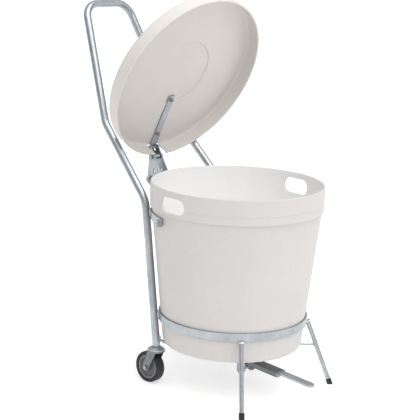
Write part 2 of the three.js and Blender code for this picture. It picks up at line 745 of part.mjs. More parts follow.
function castorStemGeometry(side) {
  const plug = rod(
    vector(0, uprightY(uprightFootZ - 3) - uprightFootY, uprightFootZ - 3),
    vector(0, uprightY(stemTop) - uprightFootY, stemTop),
    tubeBoreFlat - slide,
    tubeSides,
  );
  const flange = rod(vector(0, 0, flangeZ - 4), vector(0, 0, flangeZ), tubeRadius, 18);
  const kingPin = rod(vector(0, 0, forkCrownZ - 5), vector(0, 0, flangeZ - 1), 5, 14);
  const rivet = rod(vector(0, 0, forkCrownZ - 5), vector(0, 0, forkCrownZ - touch), 7, 14);
  return join(cut(plug, box(-far, far, -far, far, -far, flangeZ - 2)), flange, kingPin, rivet)
    .translate(side * uprightX, uprightFootY, 0);
}

// The raceway that covers the balls, fixed under the stem's flange.
function castorRaceGeometry() {
  const top = flangeZ - 4 - touch;
  const bottom = forkCrownZ + 4.5;
  const bore = 5 + slide;
  return lathe([
    [bore, bottom],
    [headRadius, bottom],
    [headRadius, bottom + 4],
    [headRadius - 10, top],
    [bore, top],
    [bore, bottom],
  ], 24);
}

function forkGeometry() {
  const inside = wheelWidth / 2 + forkGap;
  const crown = rod(vector(0, 0, forkCrownZ), vector(0, 0, forkCrownZ + 4.2), headRadius + 1, 24);
  const outside = inside + forkThickness;
  const bridge = box(-outside, outside, -15, 18, forkCrownZ, forkCrownZ + forkThickness);
  const outline = new THREE.Shape();
  outline.moveTo(-15, forkCrownZ + forkThickness);
  outline.lineTo(-11, forkCrownZ - 12);
  outline.lineTo(castorTrail - 11, wheelRadius - 4);
  outline.absarc(castorTrail, wheelRadius, 12, 1.11 * Math.PI, 2.05 * Math.PI, false);
  outline.lineTo(18, forkCrownZ + forkThickness);
  const plates = [-inside - forkThickness, inside].map((x0) => sidePlate(outline, x0, forkThickness));
  const bore = rod(vector(0, 0, 0), vector(0, 0, far), 5 + slide, 14);
  const axleHole = crossPin(-far, far, castorTrail, wheelRadius, axleRadius + slide, 14);
  return cut(join(crown, bridge, ...plates), bore, axleHole);
}

// Wheel pieces turn round X, so their profiles are turned over after the lathe.
function wheelLathe(points, segments) {
  return lathe(points, segments).rotateY(Math.PI / 2).translate(0, castorTrail, wheelRadius);
}

function tyreGeometry() {
  const half = wheelWidth / 2;
  const inner = wheelRadius - tyreDepth;
  return wheelLathe([
    [inner, -half + 3],
    [inner + 3, -half + 1],
    [wheelRadius - 4, -half],
    [wheelRadius - 1, -half + 2.5],
    [wheelRadius, -half + 7],
    [wheelRadius, half - 7],
    [wheelRadius - 1, half - 2.5],
    [wheelRadius - 4, half],
    [inner + 3, half - 1],
    [inner, half - 3],
    [inner, -half + 3],
  ], 32);
}

function coreGeometry() {
  const half = wheelWidth / 2;
  const outer = wheelRadius - tyreDepth - touch;
  const bore = axleRadius + 2 + 2 * slide;
  return wheelLathe([
    [bore, -half],
    [11, -half],
    [13, -half + 6],
    [outer - 7, -half + 6],
    [outer - 5, -half + 3],
    [outer, -half + 3],
    [outer, half - 3],
    [outer - 5, half - 3],
    [outer - 7, half - 6],
    [13, half - 6],
    [11, half],
    [bore, half],
    [bore, -half],
  ], 32);
}

function axleTubeGeometry() {
  const half = wheelWidth / 2 + forkGap - touch;
  const bore = axleRadius + slide;
  return wheelLathe([
    [bore, -half],
    [bore + 1.9, -half],
    [bore + 1.9, half],
    [bore, half],
    [bore, -half],
  ], 18);
}

// ---------------------------------------------------------------- assembly
// A group that turns its contents round a line parallel to X, by an angle in degrees.
function turnedGroup(y, z, angle, meshes) {
  const contents = new THREE.Group();
  contents.position.set(0, -y, -z);
  contents.add(...meshes);
  const pivot = new THREE.Group();
  pivot.position.set(0, y, z);
  pivot.rotation.x = angle * degrees;
  pivot.add(contents);
  return pivot;
}

function sides(build) {
  return [['left', -1], ['right', 1]].flatMap(([label, side]) => build(label, side));
}

function cradle() {
  const earEdge = earX + earThickness + touch;
  const pedalSeat = vector(-earEdge, pedalPivotY, pedalPivotZ);
  return [
    piece('handle_tube', handleGeometry(), 'zinc'),
    piece('lower_hoop', hoopGeometry(), 'zinc'),
    piece('upper_strap', strapGeometry(), 'zinc'),
    ...sides((label, side) => [
      piece(`strap_screw_${label}`, strapScrew(side), 'bolt'),
      piece(`front_leg_${label}`, legGeometry(side), 'zinc'),
      piece(`leg_tip_${label}`, tipGeometry(side), 'rubber'),
    ]),
    piece('cross_rod_upper', crossRodGeometry(1, upperRodZ), 'zinc'),
    piece('cross_rod_lower', crossRodGeometry(-1, lowerRodZ), 'zinc'),
    piece('pedal_bracket', pedalBracketGeometry(), 'zinc'),
    piece('pedal_bolt', hexBolt(pedalSeat, xAxis, 5, 2 * earEdge + 10), 'bolt'),
    piece('pedal_nut', hexNut(pedalSeat.clone().setX(earEdge), xAxis, 5), 'bolt'),
  ];
}

function hingePieces() {
  const edge = bracketPlateX + bracketPlateThickness + touch;
  const seat = vector(-edge, hingeY, hingeZ);
  return [
    piece('hinge_bracket', hingeBracketGeometry(), 'zinc'),
    piece('hinge_bolt', hexBolt(seat, xAxis, hingeBoltRadius, 2 * edge + 10), 'bolt'),
    piece('hinge_nut', hexNut(seat.clone().setX(edge), xAxis, hingeBoltRadius), 'bolt'),
  ];
}

function lidAssembly() {
  const edge = swingPlateX + swingPlateThickness + touch;
  const armSeat = vector(-edge, armPinY, armPinZ);
  const stopSeat = vector(-edge, stopPinY, stopPinZ);
  const down = zAxis.clone().negate();
  const meshes = [
    piece('lid', lidGeometry(), 'plastic'),
    piece('lid_arm', lidArmGeometry(), 'zinc'),
    piece('swing_plate_left', swingPlateGeometry(-swingPlateX - swingPlateThickness), 'zinc'),
    piece('swing_plate_right', swingPlateGeometry(swingPlateX), 'zinc'),
    piece('arm_bolt', hexBolt(armSeat, xAxis, armPinRadius, 2 * edge + 9), 'bolt'),
    piece('arm_nut', hexNut(armSeat.clone().setX(edge), xAxis, armPinRadius), 'bolt'),
    piece('stop_bolt', hexBolt(stopSeat, xAxis, stopPinRadius, 2 * edge + 6), 'bolt'),
    piece('stop_nut', hexNut(stopSeat.clone().setX(edge), xAxis, stopPinRadius), 'bolt'),
    ...armBoltYs.flatMap((y, index) => [
      piece(`lid_bolt_${index + 1}`, lidBoltGeometry(y), 'bolt'),
      piece(`lid_nut_${index + 1}`, hexNut(vector(0, y, armBottom - touch), down, 4), 'bolt'),
    ]),
  ];
  return turnedGroup(hingeY, hingeZ, -lidOpenAngle, meshes);
}

function pedalAssembly() {
  const leverPin = vector(0, leverPinY, rearPinZ);
  const meshes = [
    piece('pedal', pedalGeometry(), 'zinc'),
    piece('pedal_lever', leverGeometry(), 'zinc'),
    ...rivetYs.map((y, index) => piece(`pedal_rivet_${index + 1}`, rivetGeometry(y), 'bolt')),
    piece('lower_rod_pin', skewed(clevisPin(leverPin, leverWidth / 2 + 4)), 'bolt'),
    piece('lower_pin_clip', skewed(pinClip(leverPin, leverWidth / 2 + 4)), 'bolt'),
  ];
  return turnedGroup(pedalPivotY, pedalPivotZ, pedalPressed, meshes);
}

function pushRodPieces() {
  const reach = swingPlateX + 3;
  return [
    piece('push_rod', pushRodGeometry(), 'zinc'),
    piece('upper_rod_pin', crossPin(-reach, reach, upperPin.y, upperPin.z, pinRadius, 14), 'bolt'),
  ];
}

function castorSwivel(label, side) {
  const edge = wheelWidth / 2 + forkGap + forkThickness + touch;
  const axle = vector(0, castorTrail, wheelRadius);
  const swivel = new THREE.Group();
  swivel.position.set(side * uprightX, uprightFootY, 0);
  swivel.add(
    piece(`fork_${label}`, forkGeometry(), 'zinc'),
    piece(`axle_bolt_${label}`, hexBolt(axle.clone().setX(-edge), xAxis, axleRadius, 2 * edge + 8), 'bolt'),
    piece(`axle_nut_${label}`, hexNut(axle.clone().setX(edge), xAxis, axleRadius), 'bolt'),
    piece(`axle_tube_${label}`, axleTubeGeometry(), 'bolt'),
    piece(`wheel_core_${label}`, coreGeometry(), 'core'),
    piece(`tyre_${label}`, tyreGeometry(), 'rubber'),
  );
  return swivel;
}

function castorFixed(label, side) {
  const race = piece(`castor_race_${label}`, castorRaceGeometry(), 'zinc');
  race.position.set(side * uprightX, uprightFootY, 0);
  return [piece(`castor_stem_${label}`, castorStemGeometry(side), 'bolt'), race];
}

const lidUnit = new THREE.Group();
lidUnit.rotation.z = unitTurn * degrees;
lidUnit.add(
  ...hingePieces(),
  ...pushRodPieces(),
  lidAssembly(),
);

const trolley = new THREE.Group();
trolley.add(
  ...cradle(),
  ...sides(castorFixed),
  ...sides(castorSwivel),
  pedalAssembly(),
  lidUnit,
  piece('tub', tubGeometry(), 'plastic').rotateZ(tubTurn * degrees),
);

// The origin is under the middle of the whole object's box.
const bounds = new THREE.Box3().setFromObject(trolley, true);
trolley.position.x = -(bounds.min.x + bounds.max.x) / 2;
trolley.position.y = -(bounds.min.y + bounds.max.y) / 2;

export default trolley;
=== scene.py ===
import json
import math

import bmesh
import bpy
from mathutils import Matrix, Vector


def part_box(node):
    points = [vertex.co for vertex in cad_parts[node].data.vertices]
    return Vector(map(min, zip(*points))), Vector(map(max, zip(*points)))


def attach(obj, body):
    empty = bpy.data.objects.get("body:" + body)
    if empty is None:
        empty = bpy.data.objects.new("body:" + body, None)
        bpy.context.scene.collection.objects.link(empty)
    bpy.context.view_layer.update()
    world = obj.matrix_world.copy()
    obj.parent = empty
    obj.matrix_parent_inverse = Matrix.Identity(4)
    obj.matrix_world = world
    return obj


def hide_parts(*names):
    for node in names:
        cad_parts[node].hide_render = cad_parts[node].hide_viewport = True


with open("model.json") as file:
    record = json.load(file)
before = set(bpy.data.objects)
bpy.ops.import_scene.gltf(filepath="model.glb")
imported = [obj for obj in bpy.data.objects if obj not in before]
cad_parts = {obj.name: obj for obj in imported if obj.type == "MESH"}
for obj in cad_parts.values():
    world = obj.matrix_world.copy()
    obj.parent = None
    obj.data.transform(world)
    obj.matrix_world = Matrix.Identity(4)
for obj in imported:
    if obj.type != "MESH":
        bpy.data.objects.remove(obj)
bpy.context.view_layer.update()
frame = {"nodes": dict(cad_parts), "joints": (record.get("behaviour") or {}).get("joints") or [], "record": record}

record = frame["record"]
slotOf = {entry["node"]: entry["material_slot"] for entry in record["subparts"]}
bodyOf = {node: body for body, nodes in record["behaviour"]["bodies"].items() for node in nodes}
joints = {joint["name"]: joint for joint in frame["joints"]}
mm = 0.001

tubLow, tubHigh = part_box("tub")
tubAxis = Vector(((tubLow.x + tubHigh.x) / 2, (tubLow.y + tubHigh.y) / 2, 0))
cradleSpace = Matrix.Translation(tubAxis) @ Matrix.Scale(mm, 4)  # millimetres round the tub's axis
lidTurn = -2.5  # degrees, the lid's hinge and the push rod stand a little off the middle
tubTurn = -6


# a socket of a node, with the arithmetic that is used on it
class Wire:
    def __init__(self, sheet, socket):
        self.sheet = sheet
        self.socket = socket

    def maths(self, operation, *values):
        return self.sheet.node("ShaderNodeMath", {"operation": operation}, dict(enumerate(values)))

    def __add__(self, other):
        return self.maths("ADD", self, other)

    def __radd__(self, other):
        return self.maths("ADD", other, self)

    def __sub__(self, other):
        return self.maths("SUBTRACT", self, other)

    def __rsub__(self, other):
        return self.maths("SUBTRACT", other, self)

    def __mul__(self, other):
        return self.maths("MULTIPLY", self, other)

    def __rmul__(self, other):
        return self.maths("MULTIPLY", other, self)

    def __abs__(self):
        return self.maths("ABSOLUTE", self)


# the nodes of a material or of the world, which all come from one method
class Sheet:
    def __init__(self, owner, shader="Principled BSDF"):
        owner.use_nodes = True
        self.owner = owner
        self.tree = owner.node_tree
        self.shader = self.tree.nodes[shader]

    def node(self, kind, settings=None, inputs=None, output=0):
        made = self.tree.nodes.new(kind)
        for key, value in (settings or {}).items():
            if key == "stops":
                ramp = made.color_ramp.elements
                for index, (place, colour) in enumerate(value):
                    stop = ramp[index] if index < 2 else ramp.new(place)
                    stop.position = place
                    stop.color = colour
            else:
                setattr(made, key, value)
        self.feed(made, inputs or {})
        return Wire(self, made.outputs[output])

    def feed(self, node, inputs):
        for key, value in inputs.items():
            if isinstance(value, Wire):
                self.tree.links.new(value.socket, node.inputs[key])
            else:
                node.inputs[key].default_value = value

    def place(self, stretch=(1, 1, 1)):
        where = self.node("ShaderNodeTexCoord", output="Object")
        return self.node("ShaderNodeMapping", {}, {"Vector": where, "Scale": stretch})

    def noise(self, scale, detail=3, stretch=(1, 1, 1), roughness=0.5):
        values = {"Vector": self.place(stretch), "Scale": scale, "Detail": detail, "Roughness": roughness}
        return self.node("ShaderNodeTexNoise", {}, values)

    def between(self, value, low, high):
        limits = {"Value": value, "From Min": low, "From Max": high}
        return self.node("ShaderNodeMapRange", {"clamp": True}, limits)

    def mix(self, factor, first, second, blend="MIX"):
        settings = {"data_type": "RGBA", "blend_type": blend}
        return self.node("ShaderNodeMix", settings, {0: factor, 6: first, 7: second}, output=2)

    def bump(self, height, distance, strength=1.0, under=None):
        values = {"Height": height, "Distance": distance, "Strength": strength}
        if under is not None:
            values["Normal"] = under
        return self.node("ShaderNodeBump", {}, values)

    def finish(self, **inputs):
        names = {
            "baseColor": "Base Color",
            "roughness": "Roughness",
            "metallic": "Metallic",
            "normal": "Normal",
            "specular": "Specular IOR Level",
            "glow": "Emission Color",
            "glowStrength": "Emission Strength",
        }
        self.feed(self.shader, {names[key]: value for key, value in inputs.items()})
        return self.owner


plasticLook = {
    "colour": (0.625, 0.600, 0.582, 1),
    "warm": (0.575, 0.540, 0.505, 1),
    # painted light: the near-white tone given to the tub's inner faces in place of the light that fills the tub
    "inside": (0.945, 0.94, 0.93, 1),
    "stain": (0.60, 0.50, 0.40, 1),
    "roughness": 0.42,
}


# moulded plastic: draw lines up the wall, a fine grain, hairline scuffs, old stains low down, and inward faces
# painted much lighter as painted light
def plastic(name, look, stainBelow=None):
    sheet = Sheet(bpy.data.materials.new(name))
    draw = sheet.noise(26, 4, (3.2, 3.2, 0.12))
    grain = sheet.noise(620, 3)
    clouds = sheet.noise(5.5, 4, roughness=0.6)
    hair = abs(sheet.noise(9, 3, (1, 1, 4.5)) - 0.5)
    scuffs = sheet.between(hair, 0.006, 0.0) * sheet.between(sheet.noise(3.5, 2), 0.52, 0.62)
    marks = sheet.between(sheet.noise(3, 5, (1, 1, 0.5), 0.65), 0.56, 0.74)
    colour = sheet.mix(sheet.between(clouds, 0.38, 0.72) * 0.30, look["colour"], look["warm"])
    colour = sheet.mix(sheet.between(draw, 0.35, 0.65) * 0.10, colour, look["warm"])
    # painted light: faces marked as inside are mixed towards a near-white tone, standing in for the light bounced
    # round the tub's inside
    inside = sheet.node("ShaderNodeAttribute", {"attribute_name": "inside"}, output="Fac")
    colour = sheet.mix(inside * 0.85, colour, look["inside"])
    if stainBelow is not None:
        height = sheet.node("ShaderNodeSeparateXYZ", {}, {0: sheet.place()}, output=2)
        low = sheet.between(height, stainBelow, stainBelow - 0.12)
        colour = sheet.mix((marks * low) * 0.40, colour, look["stain"])
    else:
        colour = sheet.mix(marks * 0.06, colour, look["stain"])
    colour = sheet.mix(scuffs * 0.10, colour, look["stain"])
    roughness = look["roughness"] + (grain - 0.5) * 0.10 + clouds * 0.10 + scuffs * 0.10
    normal = sheet.bump(draw, 0.0006, 0.35)
    normal = sheet.bump(grain, 0.00012, 0.5, normal)
    normal = sheet.bump(scuffs, 0.00005, 0.3, normal)
    return sheet.finish(baseColor=colour, roughness=roughness, normal=normal, specular=0.45)


zincLook = {
    "colour": (0.43, 0.46, 0.485, 1),
    "cool": (0.25, 0.285, 0.315, 1),
    "bright": (0.70, 0.72, 0.735, 1),
    # painted shade: the dark tone laid on past the given Y line, in place of the tub's shadow
    "dull": (0.13, 0.145, 0.16, 1),
    "dullEdge": 0.006,
    "spangle": 85,
    "roughness": 0.25,
    "grain": 0.00008,
}


# zinc plate: a soft crystal pattern, drawn streaks, dull patches, small dark pits and, past a given line along Y,
# painted shade
def zinc(name, look, shadedFrom=None):
    sheet = Sheet(bpy.data.materials.new(name))
    cells = {"Vector": sheet.place(), "Scale": look["spangle"]}
    crystal = sheet.node("ShaderNodeTexVoronoi", {}, cells, output="Color")
    crystal = sheet.node("ShaderNodeSeparateColor", {}, {0: crystal})
    patches = sheet.noise(14, 4, roughness=0.6)
    streaks = sheet.noise(40, 3, (5, 5, 0.5))
    fine = sheet.noise(700, 2)
    pits = sheet.between(sheet.noise(260, 2), 0.70, 0.78)
    colour = sheet.mix(sheet.between(patches, 0.35, 0.70) * 0.55, look["colour"], look["cool"])
    colour = sheet.mix(crystal * 0.18, colour, look["bright"])
    colour = sheet.mix(sheet.between(streaks, 0.5, 0.75) * 0.25, colour, look["bright"])
    colour = sheet.mix(pits * 0.5, colour, (0.16, 0.16, 0.165, 1))
    # painted shade: beyond the given line along Y the plate turns dark, standing in for the shadow under the tub
    if shadedFrom is not None:
        alongY = sheet.node("ShaderNodeSeparateXYZ", {}, {0: sheet.place()}, output=1)
        shaded = sheet.between(alongY, shadedFrom - look["dullEdge"], shadedFrom + look["dullEdge"])
        colour = sheet.mix(shaded * 0.85, colour, look["dull"])
    roughness = look["roughness"] + patches * 0.16 + crystal * 0.06 + pits * 0.2
    normal = sheet.bump(fine, look["grain"], 0.5)
    normal = sheet.bump(streaks, 0.0002, 0.25, normal)
    return sheet.finish(baseColor=colour, roughness=roughness, metallic=0.92, normal=normal)


rubberLook = {
    "colour": (0.012, 0.012, 0.0135, 1),
    "dust": (0.075, 0.072, 0.070, 1),
    "dusty": 0.22,
    "roughness": 0.50,
}


# black rubber or nylon with dust caught in its grain
def rubber(name, look):
    sheet = Sheet(bpy.data.materials.new(name))
    grain = sheet.noise(900, 3)
    dust = sheet.between(sheet.noise(35, 5, roughness=0.65), 0.42, 0.75)
    worn = sheet.between(sheet.noise(120, 4), 0.50, 0.70)
    colour = sheet.mix(dust * look["dusty"], look["colour"], look["dust"])
    colour = sheet.mix(worn * 0.12, colour, look["dust"])
    roughness = look["roughness"] + dust * 0.22 + (grain - 0.5) * 0.15
    normal = sheet.bump(grain, 0.0001, 0.6)
    normal = sheet.bump(worn, 0.0002, 0.4, normal)
    return sheet.finish(baseColor=colour, roughness=roughness, normal=normal)


# the lid's plastic is a lighter, warmer copy of the tub's, painted light making up for the shade on its underside
lidLook = {**plasticLook, "colour": (0.665, 0.632, 0.600, 1), "warm": (0.62, 0.57, 0.515, 1)}
boltLook = {**zincLook, "colour": (0.36, 0.375, 0.385, 1), "spangle": 240, "roughness": 0.34}
# the weld metal is painted near-white, a painted highlight on each joint
weldLook = {
    **zincLook,
    "colour": (0.80, 0.815, 0.82, 1),
    "cool": (0.60, 0.62, 0.63, 1),
    "spangle": 400,
    "grain": 0.0004,
}
# the fork's zinc is painted far darker than the frame's, a painted dark reflection
forkLook = {
    **zincLook,
    "colour": (0.20, 0.215, 0.235, 1),
    "cool": (0.12, 0.135, 0.155, 1),
    "bright": (0.40, 0.42, 0.44, 1),
    "roughness": 0.26,
}
tipLook = {**rubberLook, "colour": (0.006, 0.006, 0.0065, 1), "dusty": 0.10}
coreLook = {**rubberLook, "colour": (0.105, 0.108, 0.112, 1), "dust": (0.20, 0.195, 0.19, 1)}
# the rim line's light grey is a painted highlight along the edge of the wheel's rim
rimHighlightLook = {**rubberLook, "colour": (0.34, 0.34, 0.345, 1), "dust": (0.42, 0.41, 0.40, 1)}
treadLength = 0.126
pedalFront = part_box("pedal")[0].y

tubPlastic = plastic("tubPlastic", plasticLook, stainBelow=0.30)
lidPlastic = plastic("lidPlastic", lidLook)
platedSteel = zinc("platedSteel", zincLook)
boltSteel = zinc("boltSteel", boltLook)
weldMetal = zinc("weldMetal", weldLook)
forkSteel = zinc("forkSteel", forkLook)
# painted shade on the pedal behind its tread, where it runs in the tub's shadow
pedalSteel = zinc("pedalSteel", zincLook, shadedFrom=pedalFront + treadLength)  # bright only on the tread
tyreRubber = rubber("tyreRubber", rubberLook)
tipRubber = rubber("tipRubber", tipLook)
coreNylon = rubber("coreNylon", coreLook)
rimNylon = rubber("rimNylon", rimHighlightLook)
print("materials ready")

materialOf = {
    "plastic": tubPlastic,
    "zinc": platedSteel,
    "bolt": boltSteel,
    "tip": tipRubber,
    "tyre": tyreRubber,
    "core": coreNylon,
}


def addPiece(name, bm, material, body, sharpAngle=38):
    mesh = bpy.data.meshes.new(name)
    bm.to_mesh(mesh)
    bm.free()
    mesh.polygons.foreach_set("use_smooth", [True] * len(mesh.polygons))
    mesh.set_sharp_from_angle(angle=math.radians(sharpAngle))
    mesh.materials.append(material)
    piece = bpy.data.objects.new(name, mesh)
    bpy.context.scene.collection.objects.link(piece)
    weighted = piece.modifiers.new("weightedNormals", "WEIGHTED_NORMAL")
    weighted.keep_sharp = True
    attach(piece, body)
    return piece


# a piece that stands for CAD nodes of one body
def standFor(name, bm, nodes, material=None, sharpAngle=38):
    first = nodes[0]
    material = material or materialOf[slotOf[first]]
    piece = addPiece(name, bm, material, bodyOf[first], sharpAngle)
    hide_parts(*nodes)
    return piece


# a merged copy of a CAD node with its sharp edges eased
def eased(node, width, angle=32):
    bm = bmesh.new()
    bm.from_mesh(frame["nodes"][node].data)
    bmesh.ops.remove_doubles(bm, verts=bm.verts, dist=0.00002)
    bmesh.ops.dissolve_limit(bm, angle_limit=math.radians(0.8), verts=bm.verts, edges=bm.edges)
    sharp = [edge for edge in bm.edges
             if edge.is_manifold and edge.calc_face_angle() > math.radians(angle)]
    easeEdges(bm, sharp, width)
    return bm


easedWidths = {"zinc": 0.5 * mm, "bolt": 0.35 * mm, "tip": 1.2 * mm}
built = set()  # the CAD nodes that a finer piece already stands for


# points of a rounded corner in a profile
def arc(radius, height, size, start, end, steps=6):
    angles = [math.radians(start + (end - start) * step / steps) for step in range(steps + 1)]
    return [(radius + size * math.cos(angle), height + size * math.sin(angle)) for angle in angles]


# a profile of radius and height spun round Z
def turned(profile, steps=160, closed=False):
    bm = bmesh.new()
    points = [bm.verts.new((radius, 0, height)) for radius, height in profile]
    pairs = list(zip(points, points[1:] + points[:1])) if closed else list(zip(points, points[1:]))
    edges = [bm.edges.new(pair) for pair in pairs]
    bmesh.ops.spin(bm, geom=points + edges, cent=(0, 0, 0), axis=(0, 0, 1), angle=2 * math.pi, steps=steps,
                   use_merge=True)
    bmesh.ops.remove_doubles(bm, verts=bm.verts, dist=0.01)
    bmesh.ops.recalc_face_normals(bm, faces=bm.faces)
    return bm


# a round bar that follows a line of places, each a matrix whose Z points along the bar
def swept(places, radius, sides=32):
    bm = bmesh.new()
    bmesh.ops.create_circle(bm, segments=sides, radius=radius, matrix=places[0], cap_ends=True)
    ring = [edge for edge in bm.edges if edge.is_boundary]
    for before, after in zip(places, places[1:]):
        grown = bmesh.ops.extrude_edge_only(bm, edges=ring)["geom"]
        moved = {item for item in grown if isinstance(item, bmesh.types.BMVert)}
        ring = [item for item in grown if isinstance(item, bmesh.types.BMEdge) and set(item.verts) <= moved]
        bmesh.ops.transform(bm, matrix=after @ before.inverted(), verts=list(moved))
    bmesh.ops.contextual_create(bm, geom=ring)
    bmesh.ops.recalc_face_normals(bm, faces=bm.faces)
    return bm


# where a bar with rounded corners passes; a corner is a point and the radius of its bend
def bentLine(corners, steps=10):
    points = [Vector(corner[:3]) for corner in corners]
    ways = [(after - before).normalized() for before, after in zip(points, points[1:])]
    stations = [(points[0], ways[0])]
    for index in range(1, len(points) - 1):
        into, out = ways[index - 1], ways[index]
        turn = into.angle(out)
        inward = (out - into * math.cos(turn)).normalized()
        radius = corners[index][3]
        start = points[index] - into * radius * math.tan(turn / 2)
        for step in range(steps + 1):
            angle = turn * step / steps
            spot = start + inward * radius * (1 - math.cos(angle)) + into * radius * math.sin(angle)
            stations.append((spot, into * math.cos(angle) + inward * math.sin(angle)))
    stations.append((points[-1], ways[-1]))
    return stations


# matrices along those stations that turn no more than the line does
def placesAlong(stations):
    heading = stations[0][1]
    turn = heading.to_track_quat("Z", "Y")
    places = []
    for spot, way in stations:
        turn = heading.rotation_difference(way) @ turn
        heading = way
        places.append(Matrix.Translation(spot) @ turn.to_matrix().to_4x4())
    return places


def looseObject(bm):
    mesh = bpy.data.meshes.new("loose")
    bm.to_mesh(mesh)
    bm.free()
    loose = bpy.data.objects.new("loose", mesh)
    bpy.context.scene.collection.objects.link(loose)
    return loose


# cuts shapes away from a mesh
def cutAway(bm, cutters):
    base = looseObject(bm)
    tools = [looseObject(cutter) for cutter in cutters]
    for tool in tools:
        cut = base.modifiers.new("cut", "BOOLEAN")
        cut.object = tool
        cut.operation = "DIFFERENCE"
        cut.solver = "EXACT"
    graph = bpy.context.evaluated_depsgraph_get()
    result = bmesh.new()
    result.from_mesh(base.evaluated_get(graph).to_mesh())
    for loose in [base, *tools]:
        bpy.data.objects.remove(loose)
    return result


def easeEdges(bm, edges, width, segments=2):
    bmesh.ops.bevel(bm, geom=edges, offset=width, offset_type="OFFSET", segments=segments, profile=0.5,
                    affect="EDGES", clamp_overlap=False, material=-1)


def moved(bm, matrix):
    bmesh.ops.transform(bm, matrix=matrix, verts=bm.verts)
    return bm


def block(low, high):
    bm = bmesh.new()
    low, high = Vector(low), Vector(high)
    shape = Matrix.Translation((low + high) / 2) @ Matrix.Diagonal((*(high - low), 1))
    bmesh.ops.create_cube(bm, size=1, matrix=shape)
    return bm


tubSize = {
    "radius": 270.5, "baseRadius": 220, "baseZ": 136.5, "topZ": 652.5, "collarZ": 574.5, "collarStep": 6,
    "wall": 3.5, "floor": 5, "corner": 14, "rim": 2.5, "lineZ": 601.5, "lineStep": 0.8,
    "holeLength": 103, "holeHeight": 48, "holeZ": 609, "holeEase": 1.2,
}


def gripCutter(size):
    bm = bmesh.new()
    reach = (size["holeLength"] - size["holeHeight"]) / 2
    for x in (-size["radius"] - 10, size["radius"] + 10):
        for y in (-reach, reach):
            ring = Matrix.Translation((x, y, size["holeZ"])) @ Matrix.Rotation(math.pi / 2, 4, "Y")
            bmesh.ops.create_circle(bm, segments=48, radius=size["holeHeight"] / 2, matrix=ring)
    bmesh.ops.convex_hull(bm, input=bm.verts)
    bmesh.ops.dissolve_limit(bm, angle_limit=math.radians(1), verts=bm.verts, edges=bm.edges)
    loose = [vert for vert in bm.verts if not vert.link_faces]
    bmesh.ops.delete(bm, geom=loose, context="VERTS")
    return bm


def buildTub(size):
    radius, base, top, rim = size["radius"], size["baseRadius"], size["topZ"], size["rim"]
    collar, step, wall = size["collarZ"], size["collarStep"], size["wall"]
    corner, bottom = size["corner"], size["baseZ"]
    inside = radius - wall - rim
    profile = [(0, bottom + 2), (base - 3 * corner - 1, bottom + 2), (base - 3 * corner + 1, bottom)]
    profile += arc(base - corner, bottom + corner, corner, -90, 0, 8)
    profile += [(radius - step, collar), (radius - size["lineStep"] - 0.8, collar + 0.4)]
    profile += [(radius - size["lineStep"], collar + 1.6), (radius - size["lineStep"], size["lineZ"] - 0.5)]
    profile += [(radius, size["lineZ"] + 0.5)]
    profile += arc(radius - rim, top - rim, rim, 0, 90, 5) + [(inside + 0.8, top), (inside, top - 1.2)]
    profile += [(radius - step - wall, collar)]
    profile += arc(base - corner, bottom + corner, corner - wall, 0, -60, 5)
    profile += [(base - corner, bottom + size["floor"]), (0, bottom + size["floor"])]
    bm = cutAway(turned(profile, 180), [gripCutter(size)])
    bmesh.ops.dissolve_limit(bm, angle_limit=math.radians(0.3), verts=bm.verts, edges=bm.edges)
    holeTop = size["holeZ"] + size["holeHeight"] / 2 + 1
    holeBottom = size["holeZ"] - size["holeHeight"] / 2 - 1
    lip = [edge for edge in bm.edges
           if edge.is_manifold and edge.calc_face_angle() > math.radians(60)
           and all(holeBottom < vert.co.z < holeTop for vert in edge.verts)]
    easeEdges(bm, lip, size["holeEase"], 3)
    # marks the inward faces that the plastic paints lighter, a painted stand-in for the light inside the tub
    insideLitLayer = bm.faces.layers.float.new("inside")
    for face in bm.faces:
        middle = face.calc_center_median()
        outward = Vector((middle.x, middle.y, 0)).normalized().dot(face.normal)
        hollow = outward < -0.3 or (face.normal.z > 0.5 and middle.z < bottom + 30)
        face[insideLitLayer] = 1.0 if hollow else 0.0
    moved(bm, cradleSpace @ Matrix.Rotation(math.radians(tubTurn), 4, "Z"))
    standFor("tubShell", bm, ["tub"], sharpAngle=30)
    built.add("tub")


buildTub(tubSize)

lidSize = {
    "inner": 281, "wall": 3, "underside": 660.8, "rimZ": 612.5, "corner": 14, "lip": 2, "lipHeight": 6,
    "ring": 112, "ringRise": 3.6, "ringFade": 70, "notch": 25, "notchDepth": 14,
    "armRelief": (13.5, 86, 200), "reliefDepth": 9,
}


# the closed lid's place in millimetres round the tub's axis, swung open about the hinge
def lidSpace():
    hinge = joints["lid_hinge"]
    pivot = Vector(hinge["pos_m"])
    angle = -math.radians(hinge["range_deg"][0])
    swing = Matrix.Rotation(angle, 4, Vector(hinge["axis"]))
    opened = Matrix.Translation(pivot) @ swing @ Matrix.Translation(-pivot)
    return opened @ cradleSpace @ Matrix.Rotation(math.radians(lidTurn), 4, "Z")


